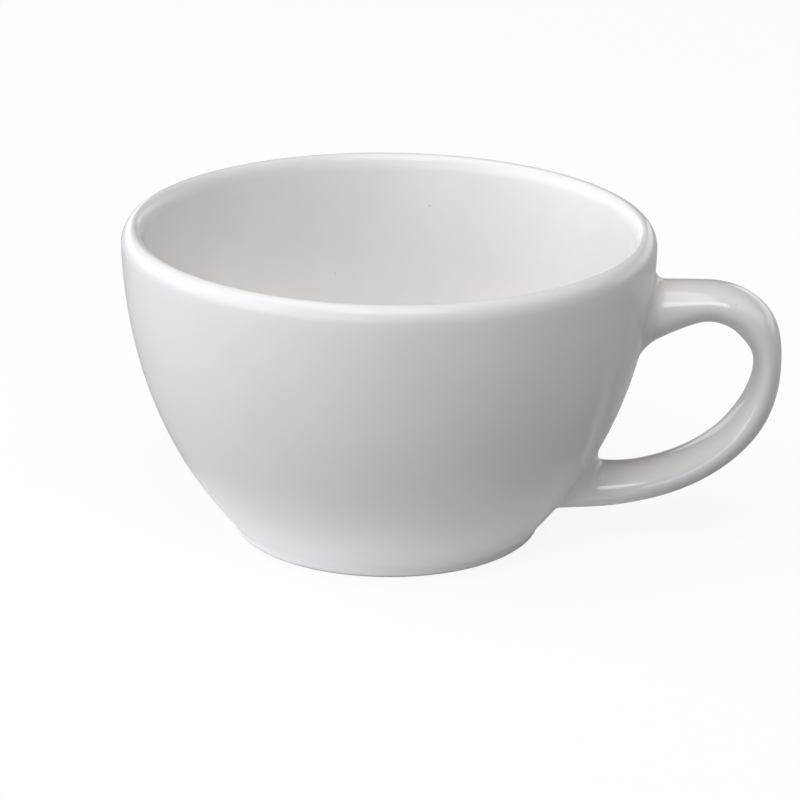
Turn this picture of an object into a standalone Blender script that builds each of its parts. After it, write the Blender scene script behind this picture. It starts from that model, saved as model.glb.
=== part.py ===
# A stoneware latte cup: a roller-formed bowl and a cast handle, luted on with slip at two joins.
# Metres, +Z up. The bowl's axis stands off the origin so that the origin is the bounding box's bottom centre.
import bpy
import numpy as np

# Bowl outside
RIM_RADIUS = 0.0550
HEIGHT = 0.0655
LIP_BAND = 0.0012  # upright stretch between the wall and the lip's rounding
LIP_ROUND = 0.0035  # height of the lip's rounding
WALL_LEAN = np.radians(2.4)  # off vertical, outwards, where the wall meets the lip
SHOULDER_PULL = 0.0356  # how far the wall's curve runs on straight below the lip
BELLY_RISE = np.radians(51.4)  # slope of the wall as it leaves the foot
BELLY_PULL = 0.0058

# Bowl inside
WALL = 0.0044
FLOOR = 0.0056
LIP_OUTER_ROUND = 0.0025  # radial share of the lip's rounding on the outside
INSIDE_FLAT = 0.0120  # radius of the flat patch in the middle of the floor
INSIDE_FLOOR_PULL = 0.0210
INSIDE_WALL_PULL = 0.0340

# Foot ring
FOOT_HEIGHT = 0.0032
FOOT_TOP_RADIUS = 0.0331
FOOT_RADIUS = 0.0312
FOOT_EDGE = 0.0006
BEARING_WIDTH = 0.0032
RECESS_DEPTH = 0.0022

# Handle: centre line in the XZ plane, oval section
CREST_OUT = 0.0105  # crest of the centre line, out from the rim
CREST_DROP = 0.0144  # and down from the lip
CREST_HEIGHT = HEIGHT - CREST_DROP
HANDLE_REACH = 0.0263  # outermost point, out from the rim
BEND_DROP = 0.0131  # and down from the crest
BEND_HEIGHT = CREST_HEIGHT - BEND_DROP
SHOULDER_FULLNESS = 0.59  # of the corner curve's reach; a quarter ellipse has 0.55
LOWER_JOIN_HEIGHT = 0.0099
HEEL_PULL = 0.0142
SOLE_PULL = 0.0245
CREST_THICKNESS = 0.0079
SHOULDER_THICKNESS = 0.0080
BEND_THICKNESS = 0.0058
HEEL_THICKNESS = 0.0072
SOLE_THICKNESS = 0.0080
CREST_WIDTH = 0.0144
BEND_WIDTH = 0.0134
SOLE_WIDTH = 0.0144
UPPER_FLARE = 0.0062  # extra depth under the upper join
UPPER_FLARE_LENGTH = 0.0118
UPPER_FLARE_WIDTH = 0.0008
LOWER_FLARE_WIDTH = 0.0012
LOWER_FLARE_LENGTH = 0.0080

# Slip joints
SLIP_THICKNESS = 0.0009
UPPER_FILLET = 0.0016
LOWER_FILLET = 0.0024
SLIP_EDGE = 0.0003  # thickness of the slip's feathered edge on the handle
GAP = 0.0003  # left between pieces that touch

ROOT_BLEND = 0.0090  # over this length the handle's sections turn from the wall's form to plain ovals
STEPS = 80  # round the bowl
SIDES = 28  # round the handle

CLAY = ("glazed_clay", (0.80, 0.79, 0.78), 0.12)
SLIP = ("joining_slip", (0.78, 0.77, 0.75), 0.30)


def clear_scene():
    for obj in list(bpy.data.objects):
        bpy.data.objects.remove(obj, do_unlink=True)


def material(name, colour, roughness):
    made = bpy.data.materials.get(name) or bpy.data.materials.new(name)
    made.use_nodes = True
    shader = made.node_tree.nodes["Principled BSDF"]
    shader.inputs["Base Color"].default_value = (*colour, 1.0)
    shader.inputs["Roughness"].default_value = roughness
    shader.inputs["Metallic"].default_value = 0.0
    return made


def polar(length, angle):
    return length * np.array([np.cos(angle), np.sin(angle)])


def bezier(start, pull_start, pull_end, end, count):
    t = np.linspace(0.0, 1.0, count)[:, None]
    return ((1 - t) ** 3 * start + 3 * t * (1 - t) ** 2 * pull_start
            + 3 * t**2 * (1 - t) * pull_end + t**3 * end)


def arc(centre, radius_r, radius_z, first, last, count):
    angle = np.radians(np.linspace(first, last, count))
    return np.stack([centre[0] + radius_r * np.cos(angle), centre[1] + radius_z * np.sin(angle)], axis=1)


def joined(*pieces):
    # one profile from several stretches, each starting where the last one ended
    points = np.concatenate([np.atleast_2d(piece) for piece in pieces])
    keep = np.r_[True, np.linalg.norm(np.diff(points, axis=0), axis=1) > 1e-6]
    return points[keep]


def wall_outside(count):
    # (radius, height) from the top of the foot to the lip
    foot = np.array([FOOT_TOP_RADIUS, FOOT_HEIGHT])
    lip = np.array([RIM_RADIUS, HEIGHT - LIP_ROUND - LIP_BAND])
    return bezier(foot, foot + polar(BELLY_PULL, BELLY_RISE),
                  lip - polar(SHOULDER_PULL, np.pi / 2 - WALL_LEAN), lip, count)


def radius_at(height):
    wall = wall_outside(400)
    return float(np.interp(height, wall[:, 1], wall[:, 0]))


def bowl_profile():
    lip = HEIGHT - LIP_ROUND
    lip_inner_round = WALL - LIP_OUTER_ROUND
    crown = RIM_RADIUS - LIP_OUTER_ROUND
    bearing_inside = FOOT_RADIUS - FOOT_EDGE - BEARING_WIDTH
    floor = np.array([INSIDE_FLAT, RECESS_DEPTH + FLOOR])
    inner_top = np.array([RIM_RADIUS - WALL, lip])
    underside = joined([0.0, RECESS_DEPTH], arc((bearing_inside - RECESS_DEPTH, 0.0), RECESS_DEPTH, RECESS_DEPTH,
                                                90, 0, 5))
    foot = arc((FOOT_RADIUS - FOOT_EDGE, FOOT_EDGE), FOOT_EDGE, FOOT_EDGE, -90, 0, 4)
    lip_outside = arc((crown, lip), LIP_OUTER_ROUND, LIP_ROUND, 0, 90, 7)
    lip_inside = arc((crown, lip), lip_inner_round, LIP_ROUND, 90, 180, 6)
    inside = bezier(inner_top, inner_top - polar(INSIDE_WALL_PULL, np.pi / 2 - WALL_LEAN),
                    floor + [INSIDE_FLOOR_PULL, 0.0], floor, 15)
    return joined(underside, foot, wall_outside(17), lip_outside, lip_inside, inside, [0.0, floor[1]])


def revolved(name, profile, parent):
    mesh = bpy.data.meshes.new(name)
    points = [(r, 0.0, z) for r, z in profile]
    mesh.from_pydata(points, [(i, i + 1) for i in range(len(points) - 1)], [])
    obj = bpy.data.objects.new(name, mesh)
    bpy.context.scene.collection.objects.link(obj)
    obj.parent = parent
    screw = obj.modifiers.new("revolve", "SCREW")
    screw.axis = "Z"
    screw.steps = screw.render_steps = STEPS
    screw.use_merge_vertices = True
    screw.merge_threshold = 1e-6
    screw.use_normal_flip = True
    return obj


def eased(at, knots, values):
    # smooth steps from each knot's value to the next
    out = np.full(len(at), values[0], float)
    for (a, b), (u, v) in zip(zip(knots, knots[1:]), zip(values, values[1:])):
        t = np.clip((at - a) / (b - a), 0.0, 1.0)
        out += (v - u) * t * t * (3 - 2 * t)
    return out


def handle_path(count):
    # centre line as three curves: wall to crest, crest to outermost, outermost to wall; also the curve number
    crest = np.array([RIM_RADIUS + CREST_OUT, CREST_HEIGHT])
    bend = np.array([RIM_RADIUS + HANDLE_REACH - BEND_THICKNESS / 2, BEND_HEIGHT])
    upper = np.array([radius_at(CREST_HEIGHT), CREST_HEIGHT])
    lower = np.array([radius_at(LOWER_JOIN_HEIGHT), LOWER_JOIN_HEIGHT])
    out, down = SHOULDER_FULLNESS * (bend[0] - crest[0]), SHOULDER_FULLNESS * (crest[1] - bend[1])
    top = np.linspace(upper, crest, count)
    corner = bezier(crest, crest + [out, 0.0], bend + [0.0, down], bend, count)
    under = bezier(bend, bend - [0.0, HEEL_PULL], lower + [SOLE_PULL, 0.0], lower, 2 * count)
    number = np.r_[np.linspace(0, 1, count), np.linspace(1, 2, count)[1:], np.linspace(2, 3, 2 * count)[1:]]
    return np.concatenate([top, corner[1:], under[1:]]), number


def handle_stations(count):
    # for each section: centre, normal, half thickness, half width, and its distance from the wall at either end
    centre, number = handle_path(count)
    along = np.gradient(centre, axis=0)
    along[[0, -1]] = [[1.0, 0.0], [-1.0, 0.0]]
    along /= np.linalg.norm(along, axis=1)[:, None]
    normal = np.stack([-along[:, 1], along[:, 0]], axis=1)
    run = np.r_[0, np.cumsum(np.linalg.norm(np.diff(centre, axis=0), axis=1))]
    from_upper, from_lower = run, run[-1] - run
    thick = eased(number, [0, 1, 1.5, 2, 2.35, 3], [CREST_THICKNESS, CREST_THICKNESS, SHOULDER_THICKNESS,
                                                    BEND_THICKNESS, HEEL_THICKNESS, SOLE_THICKNESS]) / 2
    wide = eased(number, [0, 1, 2, 3], [CREST_WIDTH, CREST_WIDTH, BEND_WIDTH, SOLE_WIDTH]) / 2
    upper = np.clip(1 - from_upper / UPPER_FLARE_LENGTH, 0, 1) ** 1.6
    lower = np.clip(1 - from_lower / LOWER_FLARE_LENGTH, 0, 1) ** 2
    # the upper root deepens downwards only, so its centre drops by half of what it gains
    thick = thick + UPPER_FLARE / 2 * upper
    centre = centre - [0.0, UPPER_FLARE / 2] * upper[:, None]
    wide = wide + UPPER_FLARE_WIDTH * upper + LOWER_FLARE_WIDTH * lower
    return np.column_stack([centre, normal, thick, wide]), from_upper, from_lower


def oval(station, grow=0.0, lift=0.0, share=1.0):
    # one section; lift moves its top up by twice as much as its middle
    x, z, normal_x, normal_z, thick, wide = station
    angle = np.linspace(0, 2 * np.pi, SIDES, endpoint=False)
    across = share * (thick + grow + lift) * np.cos(angle)
    return np.stack([x + across * normal_x, share * (wide + grow + 2 * lift) * np.sin(angle),
                     z + lift + across * normal_z], axis=1)


def wrapped(ring, join_height, out):
    # near the wall a section bends to stand off the wall's form by the same distance all round
    share = np.clip(1 - out / ROOT_BLEND, 0, 1)
    share = share * share * (3 - 2 * share)
    wall = wall_outside(400)
    radius = np.interp(ring[:, 2], wall[:, 1], wall[:, 0])
    shift = np.sqrt(radius**2 - ring[:, 1] ** 2) - radius_at(join_height)
    return ring + share * shift[:, None] * [1.0, 0.0, 0.0]


class Root:
    # one end of the handle: gives the section that stands a given distance off the wall
    def __init__(self, stations, out, join_height):
        order = np.argsort(out)
        self.out, self.stations, self.join_height = out[order], stations[order], join_height
        self.leaves_wall = out[0] < out[-1]

    def ring(self, out, grow=0.0, lift=0.0, share=1.0):
        station = [np.interp(out, self.out, column) for column in self.stations.T]
        return wrapped(oval(station, grow, lift, share), self.join_height, out)

    def face(self, out, grow=0.0, lift=0.0):
        # rings from the middle of a face that lies along the wall to its outline
        return [self.ring(out, grow, lift, share) for share in (0.0, 0.3, 0.6, 0.85, 1.0)]


def skinned(name, rings, parent):
    # a closed skin; the first and last rings are points
    body = np.array(rings[1:-1])
    count = len(body)
    points = np.concatenate([body.reshape(-1, 3), rings[0][:1], rings[-1][:1]])
    first, last = count * SIDES, count * SIDES + 1
    faces = []
    for j in range(SIDES):
        k = (j + 1) % SIDES
        faces.append((first, j, k))
        faces.append((last, (count - 1) * SIDES + k, (count - 1) * SIDES + j))
        for i in range(count - 1):
            faces.append((i * SIDES + j, (i + 1) * SIDES + j, (i + 1) * SIDES + k, i * SIDES + k))
    mesh = bpy.data.meshes.new(name)
    mesh.from_pydata(points.tolist(), [], faces)
    obj = bpy.data.objects.new(name, mesh)
    bpy.context.scene.collection.objects.link(obj)
    obj.parent = parent
    return obj


def make_bowl(parent):
    bowl = revolved("bowl", bowl_profile(), parent)
    bowl.data.materials.append(material(*CLAY))


def make_handle(stations, upper, lower, from_upper, from_lower, parent):
    # its ends follow the wall, leaving room for the slip
    seat = 2 * GAP + SLIP_THICKNESS
    rings = upper.face(seat)
    for station, to_upper, to_lower in zip(stations, from_upper, from_lower):
        if min(to_upper, to_lower) > seat + GAP:
            root, out = (upper, to_upper) if to_upper < to_lower else (lower, to_lower)
            rings.append(wrapped(oval(station), root.join_height, out))
    rings += lower.face(seat)[::-1]
    handle = skinned("handle", rings, parent)
    handle.data.materials.append(material(*CLAY))


def make_slip_joint(name, root, fillet, parent):
    # a pad on the wall whose rim runs up round the handle's end as a concave fillet; the open corner, above the
    # handle, takes most of it
    edge = GAP + SLIP_EDGE
    rings = root.face(GAP, edge, fillet / 2)
    for turn in np.radians(np.linspace(0, 90, 6)):
        rings.append(root.ring(GAP + SLIP_EDGE + fillet * (1 - np.cos(turn)), edge, fillet / 2 * (1 - np.sin(turn))))
    rings.append(root.ring(GAP + SLIP_EDGE + fillet, GAP))
    rings += root.face(GAP + SLIP_THICKNESS, GAP)[::-1]
    joint = skinned(name, rings if root.leaves_wall else rings[::-1], parent)
    joint.data.materials.append(material(*SLIP))


def main():
    clear_scene()
    cup = bpy.data.objects.new("cup", None)
    bpy.context.scene.collection.objects.link(cup)
    cup.location.x = -HANDLE_REACH / 2
    stations, from_upper, from_lower = handle_stations(15)
    upper = Root(stations, from_upper, CREST_HEIGHT)
    lower = Root(stations, from_lower, LOWER_JOIN_HEIGHT)
    make_bowl(cup)
    make_handle(stations, upper, lower, from_upper, from_lower, cup)
    make_slip_joint("upper_slip_joint", upper, UPPER_FILLET, cup)
    make_slip_joint("lower_slip_joint", lower, LOWER_FILLET, cup)
    bpy.context.view_layer.update()


main()
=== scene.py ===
from math import cos, pi, radians, sin

import bpy
import numpy as np
from mathutils import Matrix, Vector


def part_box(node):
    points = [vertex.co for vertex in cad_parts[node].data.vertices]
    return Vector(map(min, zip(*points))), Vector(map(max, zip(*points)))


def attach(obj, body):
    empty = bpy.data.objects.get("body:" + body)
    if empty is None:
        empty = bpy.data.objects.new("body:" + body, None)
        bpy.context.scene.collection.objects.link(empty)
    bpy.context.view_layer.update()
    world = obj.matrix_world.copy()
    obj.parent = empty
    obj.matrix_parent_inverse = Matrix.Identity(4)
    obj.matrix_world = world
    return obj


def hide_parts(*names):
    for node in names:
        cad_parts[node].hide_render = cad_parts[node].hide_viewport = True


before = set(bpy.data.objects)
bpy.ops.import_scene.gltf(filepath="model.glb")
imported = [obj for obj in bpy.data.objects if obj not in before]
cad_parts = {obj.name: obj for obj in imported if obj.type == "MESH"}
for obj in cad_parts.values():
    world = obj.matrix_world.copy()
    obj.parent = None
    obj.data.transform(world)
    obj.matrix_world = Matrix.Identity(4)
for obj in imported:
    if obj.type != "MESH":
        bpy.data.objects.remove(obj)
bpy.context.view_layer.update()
mm = 0.001

# main sizes come from the frame, so the looks follow the solids
bowlLow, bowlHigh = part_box("bowl")
axisX = (bowlLow.x + bowlHigh.x) / 2
rimRadius = (bowlHigh.x - bowlLow.x) / 2
cupHeight = bowlHigh.z
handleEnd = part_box("handle")[1].x - axisX
print(f"frame: rim {2 * rimRadius / mm:.1f} mm across, {cupHeight / mm:.1f} mm high")


def polar(length, angle):
    return length * np.array([cos(angle), sin(angle)])


def bezier(p0, p1, p2, p3, t):  # cubic curve at the values t
    return (1 - t) ** 3 * p0 + 3 * t * (1 - t) ** 2 * p1 + 3 * t * t * (1 - t) * p2 + t**3 * p3


def steps(count):
    return np.linspace(0, 1, count)[:, None]


def arc(centre, rx, rz, first, last, count):  # piece of an ellipse, angles in degrees
    a = np.radians(np.linspace(first, last, count))
    return np.stack([centre[0] + rx * np.cos(a), centre[1] + rz * np.sin(a)], axis=1)


def straight(start, end, count):
    return np.linspace(np.asarray(start, float), np.asarray(end, float), count)


def smooth(t):  # smooth step from 0 to 1
    t = np.clip(t, 0, 1)
    return t * t * (3 - 2 * t)


def chained(*stretches):  # one profile, with repeated points dropped
    points = np.concatenate([np.atleast_2d(np.asarray(s, float)) for s in stretches])
    return points[np.r_[True, np.linalg.norm(np.diff(points, axis=0), axis=1) > 1e-7]]


def gridPiece(name, grid, ends, sharpAngle=50):
    # grid[row, column] is a point; columns run round and close. ends says what the rows do:
    # "poles" caps the first and last row at their middles, "ring" joins last to first
    rows, cols = grid.shape[:2]
    spans = rows if ends == "ring" else rows - 1
    i, j = np.arange(spans)[:, None], np.arange(cols)[None]
    here, there, k = i * cols, (i + 1) % rows * cols, (j + 1) % cols
    quads = np.stack([here + j, here + k, there + k, there + j], axis=-1).reshape(-1, 4)
    points, faces = grid.reshape(-1, 3), quads.tolist()
    if ends == "poles":
        points = np.concatenate([points, grid[0].mean(0)[None], grid[-1].mean(0)[None]])
        ring, nextOne, top = np.arange(cols), (np.arange(cols) + 1) % cols, (rows - 1) * cols
        faces += np.stack([np.full(cols, rows * cols), nextOne, ring], axis=1).tolist()
        faces += np.stack([np.full(cols, rows * cols + 1), top + ring, top + nextOne], axis=1).tolist()
    mesh = bpy.data.meshes.new(name)
    mesh.from_pydata(points.tolist(), [], faces)
    mesh.polygons.foreach_set("use_smooth", np.ones(len(mesh.polygons), bool))
    mesh.set_sharp_from_angle(angle=radians(sharpAngle))
    mesh.update()
    obj = bpy.data.objects.new(name, mesh)
    bpy.context.scene.collection.objects.link(obj)
    return obj


def claim(obj, node, stage):  # every piece of the cup rides on its one body
    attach(obj, "root")
    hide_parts(node)
    print(f"{stage}: {len(obj.data.polygons)} faces")
    return obj


bowlForm = dict(
    lipBand=1.2 * mm, lipRound=3.5 * mm, lipOuter=2.5 * mm, wall=4.4 * mm,
    wallLean=radians(2.4), shoulderPull=35.6 * mm,
    bellyRise=radians(51.4), bellyPull=5.8 * mm,
    footTop=np.array([33.1, 3.2]) * mm, footRadius=32.0 * mm, footEdge=1.7 * mm,
    bearing=2.9 * mm, recess=2.2 * mm,
    floor=5.6 * mm, floorFlat=12.0 * mm, floorPull=21.0 * mm, insidePull=34.0 * mm,
    glazeStep=0.15 * mm, glazeLine=-40, stepTurn=3,  # the glaze stops part of the way round the foot's edge
    warp=0.06 * mm, waves=[(2, 0.6, 0.7), (3, 0.4, 2.1)],  # out of round: count, share and turn of each wave
    pole=0.05 * mm, around=264,
    points=dict(recess=12, recessEdge=14, bearing=6, bareEdge=10, glazeEdge=14, wall=110,
                lipOutside=26, lipInside=22, inside=90, floor=10),
)


def wallLine(count):  # (radius, height) of the outside, foot to lip
    b = bowlForm
    lip = np.array([rimRadius, cupHeight - b["lipRound"] - b["lipBand"]])
    return bezier(b["footTop"], b["footTop"] + polar(b["bellyPull"], b["bellyRise"]),
                  lip - polar(b["shoulderPull"], pi / 2 - b["wallLean"]), lip, steps(count))


wallTable = wallLine(600)


def wallRadius(height):  # read off the outside's line
    return np.interp(height, wallTable[:, 1], wallTable[:, 0])


def bowlLine():
    # recess, bare bearing ring, glaze edge, belly, lip, inside and floor, from axis to axis
    b, n = bowlForm, bowlForm["points"]
    lip = cupHeight - b["lipRound"]
    crown = (rimRadius - b["lipOuter"], lip)
    edge, axis = b["footEdge"], b["pole"]
    bare = edge - b["glazeStep"]
    ringOutside = b["footRadius"] - edge
    ringInside = ringOutside - b["bearing"]
    floor = np.array([b["floorFlat"], b["recess"] + b["floor"]])
    innerTop = np.array([rimRadius - b["wall"], lip])
    return chained(
        straight([axis, b["recess"]], [ringInside - b["recess"], b["recess"]], n["recess"]),
        arc((ringInside - b["recess"], 0), b["recess"], b["recess"], 90, 0, n["recessEdge"]),
        straight([ringInside, 0], [ringOutside, 0], n["bearing"]),
        arc((ringOutside, bare), bare, bare, -90, b["glazeLine"] - b["stepTurn"], n["bareEdge"]),
        arc((ringOutside, edge), edge, edge, b["glazeLine"], 0, n["glazeEdge"]),
        wallLine(n["wall"]),
        arc(crown, b["lipOuter"], b["lipRound"], 0, 90, n["lipOutside"]),
        arc(crown, b["wall"] - b["lipOuter"], b["lipRound"], 90, 180, n["lipInside"]),
        bezier(innerTop, innerTop - polar(b["insidePull"], pi / 2 - b["wallLean"]),
               floor + [b["floorPull"], 0], floor, steps(n["inside"])),
        straight(floor, [axis, floor[1]], n["floor"]),
    )


def makeBowl():
    # the line turned about the axis: x = axis + r cos a, y = r sin a, z = height,
    # with r pulled a little out of round, more towards the lip
    line, b = bowlLine(), bowlForm
    angle = np.linspace(0, 2 * pi, b["around"], endpoint=False)
    r, z = line[:, :1], line[:, 1:]
    oval = sum(share * np.cos(count * angle + turn) for count, share, turn in b["waves"])
    r = r - b["warp"] * (1 + oval) / 2 * smooth(z / cupHeight) * r / rimRadius
    grid = np.stack([axisX + r * np.cos(angle), r * np.sin(angle), z + 0 * angle], axis=2)
    return claim(gridPiece("bowlGlazed", grid, "poles"), "bowl", "bowl")


# knots count the handle's length: 0 at the upper join, 1 the crest, 2 the bend, 3 the lower join
handleForm = dict(
    crestOut=10.5 * mm, crestDrop=14.4 * mm, bendDrop=13.1 * mm, shoulder=0.59,
    joinHeight=9.8 * mm, heelPull=14.2 * mm, solePull=26.5 * mm,
    knots=[0, 1, 1.5, 2, 2.35, 3], thick=np.array([7.9, 7.9, 8.0, 5.8, 7.2, 8.0]) * mm,
    wideKnots=[0, 1, 2, 3], wide=np.array([14.4, 14.4, 13.4, 14.4]) * mm,
    flare=6.2 * mm, flareWide=0.8 * mm, flareLength=11.8 * mm, flarePower=1.6,
    lowFlare=1.5 * mm, lowFlareWide=3.0 * mm, lowFlareLength=16.0 * mm, lowFlarePower=2,
    blend=9.0 * mm, sunk=0.4 * mm, around=72, along=110,
)
crestHeight = cupHeight - handleForm["crestDrop"]


def eased(at, knots, values):  # smooth steps from each knot's value to the next
    out = np.full(len(at), values[0], float)
    for a, b, u, v in zip(knots, knots[1:], values, values[1:]):
        out += (v - u) * smooth((at - a) / (b - a))
    return out


def handleStations():
    # centre line in the XZ plane: straight off the wall to the crest, round the bend,
    # and one long curve back to the wall; each station has its centre, normal and half sizes
    h, n = handleForm, handleForm["along"]
    crest = np.array([rimRadius + h["crestOut"], crestHeight])
    bendThick = h["thick"][h["knots"].index(2)]
    bend = np.array([handleEnd - bendThick / 2, crestHeight - h["bendDrop"]])
    upper = np.array([wallRadius(crestHeight), crestHeight])
    lower = np.array([wallRadius(h["joinHeight"]), h["joinHeight"]])
    reach = h["shoulder"] * np.abs(bend - crest)
    centre = np.concatenate([
        straight(upper, crest, n),
        bezier(crest, crest + [reach[0], 0], bend + [0, reach[1]], bend, steps(n))[1:],
        bezier(bend, bend - [0, h["heelPull"]], lower + [h["solePull"], 0], lower, steps(2 * n))[1:]])
    number = np.r_[np.linspace(0, 1, n), np.linspace(1, 2, n)[1:], np.linspace(2, 3, 2 * n)[1:]]
    along = np.gradient(centre, axis=0)
    along[[0, -1]] = [[1, 0], [-1, 0]]
    along /= np.linalg.norm(along, axis=1)[:, None]
    run = np.r_[0, np.cumsum(np.linalg.norm(np.diff(centre, axis=0), axis=1))]
    # both roots swell towards the wall, the upper one downwards and the lower one upwards
    up = np.clip(1 - run / h["flareLength"], 0, 1) ** h["flarePower"]
    low = np.clip(1 - (run[-1] - run) / h["lowFlareLength"], 0, 1) ** h["lowFlarePower"]
    thick = eased(number, h["knots"], h["thick"]) / 2 + h["flare"] / 2 * up + h["lowFlare"] / 2 * low
    wide = eased(number, h["wideKnots"], h["wide"]) / 2 + h["flareWide"] * up + h["lowFlareWide"] * low
    centre = centre - [0, h["flare"] / 2] * up[:, None] + [0, h["lowFlare"] / 2] * low[:, None]
    return np.column_stack([centre, -along[:, 1], along[:, 0], thick, wide]), run, run[-1] - run


stations, fromUpper, fromLower = handleStations()
sectionAngle = np.linspace(0, 2 * pi, handleForm["around"], endpoint=False)


def ovals(rows, grow=0.0):
    # one oval for each row: centre + normal * thick cos a, and wide sin a across
    x, z, nx, nz, thick, wide = (column[:, None] for column in rows.T)
    across = (thick + grow) * np.cos(sectionAngle)
    return np.stack([x + across * nx, (wide + grow) * np.sin(sectionAngle), z + across * nz], axis=2)


def wrapped(grid, joinHeight, out):
    # near the wall the ovals bend to stand off it evenly: x moves by the wall's own depth there
    share = smooth(1 - np.asarray(out) / handleForm["blend"])[:, None]
    shift = np.sqrt(wallRadius(grid[..., 2]) ** 2 - grid[..., 1] ** 2) - wallRadius(joinHeight)
    return grid + (share * shift)[..., None] * [1, 0, 0]


def makeHandle():
    # the ovals carried along the centre line, with both ends a little way into the wall
    nearUpper = (fromUpper < fromLower)[:, None, None]
    grid = ovals(stations)
    grid = np.where(nearUpper, wrapped(grid, crestHeight, fromUpper),
                    wrapped(grid, handleForm["joinHeight"], fromLower))
    sunk = [handleForm["sunk"], 0, 0]
    grid = np.concatenate([grid[:1] - sunk, grid, grid[-1:] - sunk]) + [axisX, 0, 0]
    return claim(gridPiece("handleGlazed", grid[:, ::-1], "poles"), "handle", "handle")


# lowShare is the fillet's size below the handle against that above it, and falloff how fast it shrinks between
filletForm = dict(
    upper=dict(name="upperSlipFillet", node="upper_slip_joint", join=crestHeight, fromWall=fromUpper,
               alongHandle=2.6 * mm, alongWall=2.3 * mm, lowShare=1.0, falloff=1.0),
    lower=dict(name="lowerSlipFillet", node="lower_slip_joint", join=handleForm["joinHeight"],
               fromWall=fromLower, alongHandle=7.0 * mm, alongWall=7.0 * mm, lowShare=0.07, falloff=1.6),
    fullness=0.56, steps=28, sunk=0.35 * mm, inside=0.12, nudge=0.02 * mm,
)


def makeFillet(which):
    # at each angle round the handle a curve leaves along the handle and arrives along the wall;
    # the back of the ring lies inside the wall and the handle
    f = filletForm[which]
    order = np.argsort(f["fromWall"])
    every = np.arange(len(sectionAngle))
    turn = 1 if which == "upper" else -1  # the lower end runs towards the wall
    above = ((1 + turn * np.cos(sectionAngle)) / 2) ** f["falloff"]
    size = f["lowShare"] + (1 - f["lowShare"]) * above
    nudge = filletForm["nudge"]

    def ringAt(out, grow):  # at each angle: out from the wall along the handle, grow outwards from it
        rows = np.stack([np.interp(out, f["fromWall"][order], column[order]) for column in stations.T],
                        axis=1)
        return wrapped(ovals(rows, grow[:, None]), f["join"], out)[every, every]

    def unit(v):
        return v / np.linalg.norm(v, axis=1)[:, None]

    none = 0 * size
    out, grow = f["alongHandle"] * size, f["alongWall"] * size
    start, end, corner = ringAt(out, none), ringAt(none, grow), ringAt(none, none)
    leave = unit(ringAt(out - nudge, none) - start)
    arrive = unit(ringAt(none, grow - nudge) - end)
    full = filletForm["fullness"]
    p1 = start + leave * full * np.linalg.norm(corner - start, axis=1)[:, None]
    p2 = end + arrive * full * np.linalg.norm(corner - end, axis=1)[:, None]
    t = smooth(np.linspace(0, 1, filletForm["steps"]))[:, None, None]
    sunk = np.array([filletForm["sunk"], 0, 0])
    inner = start + (corner.mean(0) - start) * [0, filletForm["inside"], filletForm["inside"]]
    grid = np.concatenate([bezier(start, p1, p2, end, t),
                           np.stack([end - sunk, corner - sunk, inner - 2 * sunk])]) + [axisX, 0, 0]
    grid = grid[:, ::turn]
    return claim(gridPiece(f["name"], grid, "ring"), f["node"], f["name"])


def newNode(tree, kind, inputs=None, **settings):
    # inputs are values, or sockets to link from
    node = tree.nodes.new("ShaderNode" + kind)
    for key, value in settings.items():
        setattr(node, key, value)
    for key, value in (inputs or {}).items():
        if isinstance(value, bpy.types.NodeSocket):
            tree.links.new(value, node.inputs[key])
        else:
            node.inputs[key].default_value = value
    return node


def between(tree, value, low, high, toLow=0.0, toHigh=1.0, kind="SMOOTHSTEP"):
    # value mapped from low..high, and held outside it
    node = newNode(tree, "MapRange", {"Value": value, "From Min": low, "From Max": high,
                                      "To Min": toLow, "To Max": toHigh}, interpolation_type=kind)
    return node.outputs["Result"]


def maths(tree, operation, a, b):
    return newNode(tree, "Math", {0: a, 1: b}, operation=operation).outputs[0]


def blended(tree, share, a, b):
    node = newNode(tree, "Mix", data_type="RGBA")
    for socket, value in ((node.inputs[0], share), (node.inputs[6], a), (node.inputs[7], b)):
        if isinstance(value, bpy.types.NodeSocket):
            tree.links.new(value, socket)
        else:
            socket.default_value = (*value, 1)
    return node.outputs[2]


def noise(tree, place, size, detail):  # soft patches of about the given size
    return newNode(tree, "TexNoise", {"Vector": place, "Scale": 1 / size, "Detail": detail}).outputs["Fac"]


def fromAxis(tree, shift=0.0):  # object coordinates, counted from the bowl's axis
    place = newNode(tree, "TexCoord").outputs["Object"]
    return newNode(tree, "Mapping", {"Vector": place, "Location": (-axisX - shift, 0, 0)}).outputs[0]


# sizes are the pattern's own: one cloud, one ripple, one cell that may hold a speck
glazeLook = dict(
    cloud=19 * mm, cloudEdges=(0.35, 0.65), cloudGloss=(-0.015, 0.02), lipDepth=3.2 * mm,
    ripple=2.6 * mm, rippleShare=0.25, swell=9 * mm, swellShare=0.75,
    speckCell=6.5 * mm, speckSize=0.20 * mm, speckShare=0.45, speckBlur=0.4,
    speckDark=0.75, speckRough=0.25, speckPit=0.15,
)


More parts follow.
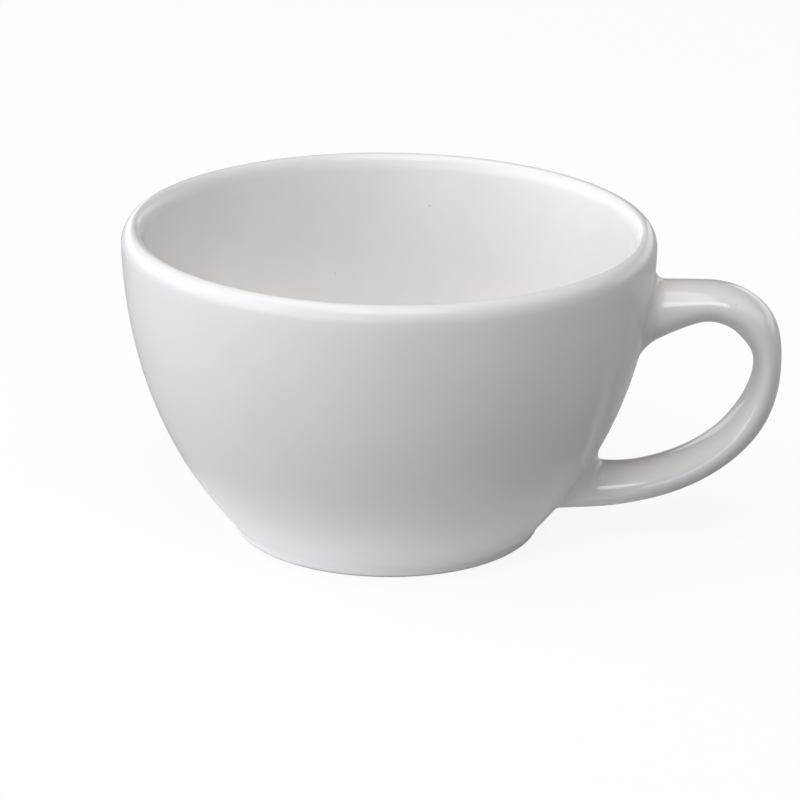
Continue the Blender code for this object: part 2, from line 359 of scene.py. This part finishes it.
def glazeGroup():
    # clouded colour, a lip band painted a little darker as painted shade, and a few iron specks
    g = glazeLook
    tree = bpy.data.node_groups.new("glazeSurface", "ShaderNodeTree")
    for name, kind in (("Colour", "Color"), ("Clouds", "Color"), ("Lip", "Color"), ("Speck", "Color"),
                       ("Gloss", "Float")):
        tree.interface.new_socket(name, in_out="INPUT", socket_type="NodeSocket" + kind)
    for name, kind in (("Colour", "Color"), ("Roughness", "Float"), ("Height", "Float")):
        tree.interface.new_socket(name, in_out="OUTPUT", socket_type="NodeSocket" + kind)
    given = tree.nodes.new("NodeGroupInput").outputs
    place = fromAxis(tree)
    height = newNode(tree, "SeparateXYZ", {0: place}).outputs["Z"]

    clouds = between(tree, noise(tree, place, g["cloud"], 3.0), *g["cloudEdges"])
    colour = blended(tree, clouds, given["Colour"], given["Clouds"])
    # painted shade: the lip's top is painted a little darker to tone down the brightly lit lip
    paintedLipShade = between(tree, height, cupHeight - g["lipDepth"], cupHeight)
    colour = blended(tree, paintedLipShade, colour, given["Lip"])

    cells = newNode(tree, "TexVoronoi", {"Vector": place, "Scale": 1 / g["speckCell"]})
    # distance comes in cells, so the speck's radius does too; a random draw keeps some cells empty
    inCells = g["speckSize"] / g["speckCell"]
    draw = newNode(tree, "SeparateColor", {0: cells.outputs["Color"]}).outputs["Red"]
    radius = maths(tree, "MULTIPLY", between(tree, draw, 1 - g["speckShare"], 1, kind="LINEAR"), inCells)
    inside = maths(tree, "DIVIDE", maths(tree, "SUBTRACT", radius, cells.outputs["Distance"]),
                   g["speckBlur"] * inCells)
    speck = between(tree, inside, 0, 1, 0, g["speckDark"])
    colour = blended(tree, speck, colour, given["Speck"])

    rough = maths(tree, "ADD", given["Gloss"], between(tree, clouds, 0, 1, *g["cloudGloss"]))
    rough = maths(tree, "ADD", rough, maths(tree, "MULTIPLY", speck, g["speckRough"]))
    relief = maths(tree, "ADD", maths(tree, "MULTIPLY", noise(tree, place, g["ripple"], 1.0), g["rippleShare"]),
                   maths(tree, "MULTIPLY", noise(tree, place, g["swell"], 1.0), g["swellShare"]))
    relief = maths(tree, "SUBTRACT", relief, maths(tree, "MULTIPLY", speck, g["speckPit"]))
    ends = tree.nodes.new("NodeGroupOutput")
    for name, socket in (("Colour", colour), ("Roughness", rough), ("Height", relief)):
        tree.links.new(socket, ends.inputs[name])
    return tree


# lip is the painted shade of the lip band, a little darker than colour
glaze = dict(colour=(0.85, 0.842, 0.838), clouds=(0.835, 0.822, 0.815), lip=(0.825, 0.822, 0.82),
             speck=(0.16, 0.13, 0.11), gloss=0.115, relief=0.035 * mm)
slip = dict(colour=(0.84, 0.83, 0.82), clouds=(0.82, 0.805, 0.79), lip=(0.84, 0.83, 0.82),
            speck=(0.16, 0.13, 0.11), gloss=0.2, relief=0.05 * mm)
bareClay = dict(colour=(0.66, 0.625, 0.575), grain=(0.55, 0.51, 0.455), grainSize=0.45 * mm,
                grainEdges=(0.35, 0.65), rough=0.78, top=0.56 * mm, topBlur=0.05 * mm,
                inner=27.1 * mm, innerBlur=0.1 * mm, wander=0.04 * mm, drift=6 * mm, driftEdges=(0.3, 0.7))


def glazed(name, look, surface, shine, bareFoot=False):
    # shine is the strength of the reflections
    made = bpy.data.materials.new(name)
    made.use_nodes = True
    tree = made.node_tree
    shader = tree.nodes["Principled BSDF"]
    shader.inputs["IOR"].default_value = 1.5
    shader.inputs["Specular IOR Level"].default_value = shine
    group = newNode(tree, "Group", node_tree=surface)
    for socket in ("Colour", "Clouds", "Lip", "Speck"):
        group.inputs[socket].default_value = (*look[socket.lower()], 1)
    group.inputs["Gloss"].default_value = look["gloss"]
    colour, rough, relief = (group.outputs[n] for n in ("Colour", "Roughness", "Height"))
    if bareFoot:  # the ring that the cup stands on is wiped clean of glaze
        b, place = bareClay, fromAxis(tree)
        height = newNode(tree, "SeparateXYZ", {0: place}).outputs["Z"]
        flat = newNode(tree, "VectorMath", {0: place, 1: (1, 1, 0)}, operation="MULTIPLY").outputs[0]
        radius = newNode(tree, "VectorMath", {0: flat}, operation="LENGTH").outputs["Value"]
        grain = noise(tree, place, b["grainSize"], 4.0)
        drift = between(tree, noise(tree, place, b["drift"], 2.0), *b["driftEdges"], -b["wander"], b["wander"])
        line = maths(tree, "ADD", height, drift)
        low = between(tree, line, b["top"] - b["topBlur"], b["top"] + b["topBlur"], 1, 0)
        bare = maths(tree, "MULTIPLY", low, between(tree, radius, b["inner"], b["inner"] + b["innerBlur"]))
        clay = blended(tree, between(tree, grain, *b["grainEdges"]), b["colour"], b["grain"])
        colour = blended(tree, bare, colour, clay)
        rough = maths(tree, "ADD", rough, maths(tree, "MULTIPLY", bare, b["rough"] - look["gloss"]))
        relief = maths(tree, "ADD", relief, maths(tree, "MULTIPLY", bare, grain))
    tree.links.new(colour, shader.inputs["Base Color"])
    tree.links.new(rough, shader.inputs["Roughness"])
    bump = newNode(tree, "Bump", {"Height": relief, "Distance": look["relief"], "Strength": 0.6})
    tree.links.new(bump.outputs[0], shader.inputs["Normal"])
    return made


# lightPoolPaint is a painted pool of light on the board under the cup, seen by bounce light and reflections but
# not by the lens, and farPaint the grey farther out;
# white and glossWhite are the shares of plain white that the lens and reflections see instead
studio = dict(
    azimuth=radians(3.0), elevation=radians(19.335), distance=830.9 * mm, aimHeight=33.0 * mm,
    pan=radians(-0.18), tilt=radians(0.37), roll=radians(0.67), lens=180.0, sensor=36.0, clipStart=0.01,
    floorRings=[0.01, 0.3, 1.0, 3.0, 8.0], floorAround=96, board=20 * mm,
    lightPoolPaint=(0.9, 0.9, 0.9), farPaint=(0.36, 0.36, 0.36),
    paintFrom=46 * mm, paintTo=61 * mm, paintShift=4 * mm, white=0.9, glossWhite=0.2,
    world=(0.0, 0.0, 0.0), lampDistance=2.0, lampAim=30 * mm,
)


def makeCamera():
    s = studio
    data = bpy.data.cameras.new("camera")
    data.lens, data.sensor_width, data.clip_start = s["lens"], s["sensor"], s["clipStart"]
    obj = bpy.data.objects.new("camera", data)
    bpy.context.scene.collection.objects.link(obj)
    turn = Matrix.Rotation(s["azimuth"], 4, "Z")
    back = turn @ Vector((0, -s["distance"] * cos(s["elevation"]), s["distance"] * sin(s["elevation"])))
    obj.matrix_world = (Matrix.Translation(Vector((axisX, 0, s["aimHeight"])) + back) @ turn
                        @ Matrix.Rotation(pi / 2 - s["elevation"], 4, "X") @ Matrix.Rotation(s["pan"], 4, "Y")
                        @ Matrix.Rotation(-s["tilt"], 4, "X") @ Matrix.Rotation(s["roll"], 4, "Z"))
    bpy.context.scene.camera = obj


def makeFloor():
    # a round board, r cos a and r sin a, top then underside;
    # the lens sees it white, with a little of the shadow
    s, rings = studio, studio["floorRings"]
    angle = np.linspace(0, 2 * pi, s["floorAround"], endpoint=False)
    radius = np.array([*rings, rings[-1], rings[0]])[:, None]
    drop = np.array([0] * len(rings) + [-s["board"]] * 2)[:, None]
    grid = np.stack([radius * np.cos(angle), radius * np.sin(angle), drop + 0 * angle], axis=2)[::-1]
    obj = gridPiece("studioFloor", grid, "poles")
    made = bpy.data.materials.new("studioWhite")
    made.use_nodes = True
    tree = made.node_tree
    tree.nodes.clear()
    path = newNode(tree, "LightPath").outputs
    mirrored = maths(tree, "MAXIMUM", path["Is Glossy Ray"], path["Is Transmission Ray"])
    under = fromAxis(tree, s["paintShift"])
    away = newNode(tree, "VectorMath", {0: under}, operation="LENGTH").outputs["Value"]
    # a painted pool of light under the cup, fading to grey farther out; the lens sees white instead
    paint = blended(tree, between(tree, away, s["paintFrom"], s["paintTo"]), s["lightPoolPaint"], s["farPaint"])
    paint = blended(tree, path["Is Camera Ray"], paint, (1, 1, 1))
    share = maths(tree, "ADD", maths(tree, "MULTIPLY", path["Is Camera Ray"], s["white"]),
                  maths(tree, "MULTIPLY", mirrored, s["glossWhite"]))
    board = newNode(tree, "BsdfDiffuse", {"Color": paint})
    shine = newNode(tree, "Emission", {"Color": (1, 1, 1, 1), "Strength": 1.0})
    mix = newNode(tree, "MixShader", {0: share, 1: board.outputs[0], 2: shine.outputs[0]})
    newNode(tree, "OutputMaterial", {"Surface": mix.outputs[0]})
    obj.data.materials.append(made)


# azimuth 0 is to the right and 270 in front; level is the brightness of the lamp's face
lamps = [
    dict(name="leftSoftbox", azimuth=190, elevation=20, size=(2.46, 1.42), level=2.45,
         colour=(0.975, 0.97, 1.0)),
    dict(name="frontLeft", azimuth=240, elevation=7.5, size=(2.0, 0.49), level=3.2,
         colour=(0.81, 0.86, 1.0)),
    dict(name="frontTop", azimuth=277, elevation=56, size=(1.35, 0.78), level=4.7,
         colour=(1.0, 0.95, 0.91)),
    dict(name="overhead", azimuth=200, elevation=75, size=(1.7, 1.7), level=1.88,
         colour=(0.94, 0.965, 1.0)),
    dict(name="rightTop", azimuth=4, elevation=43, size=(1.6, 1.6), level=0.75,
         colour=(1.0, 0.99, 0.985)),
    dict(name="backLeft", azimuth=132, elevation=9, size=(2.2, 0.62), level=1.42,
         colour=(0.96, 0.965, 1.0)),
    dict(name="backRight", azimuth=50, elevation=9, size=(2.2, 0.62), level=1.3,
         colour=(0.97, 0.97, 1.0)),
]


def makeLamps():
    for lamp in lamps:
        data = bpy.data.lights.new(lamp["name"], "AREA")
        data.shape = "RECTANGLE"
        data.size, data.size_y = lamp["size"]
        data.energy = pi * data.size * data.size_y * lamp["level"]
        data.color = lamp["colour"]
        obj = bpy.data.objects.new(lamp["name"], data)
        bpy.context.scene.collection.objects.link(obj)
        flat, rise = polar(studio["lampDistance"], radians(lamp["elevation"]))
        aim = Vector((0, 0, studio["lampAim"]))
        obj.location = aim + Vector((*polar(flat, radians(lamp["azimuth"])), rise))
        obj.rotation_euler = (aim - obj.location).to_track_quat("-Z", "Y").to_euler()
    print(f"studio: {len(lamps)} lamps")


def makeWorld():
    world = bpy.data.worlds.new("studio")
    bpy.context.scene.world = world
    world.use_nodes = True
    tree = world.node_tree
    seen = newNode(tree, "LightPath").outputs["Is Camera Ray"]  # white behind the cup, and no light on it
    tree.links.new(blended(tree, seen, studio["world"], (1, 1, 1)), tree.nodes["Background"].inputs["Color"])


surface = glazeGroup()
clayFinish = glazed("glazedClay", glaze, surface, shine=0.65)
footFinish = glazed("glazedClayBareFoot", glaze, surface, shine=0.25, bareFoot=True)  # softer on the bowl
slipFinish = glazed("joiningSlip", slip, surface, shine=0.3)
makeBowl().data.materials.append(footFinish)
makeHandle().data.materials.append(clayFinish)
for which in ("upper", "lower"):
    makeFillet(which).data.materials.append(slipFinish)
makeCamera()
makeFloor()
makeLamps()
makeWorld()
bpy.context.scene.view_settings.view_transform = "Standard"
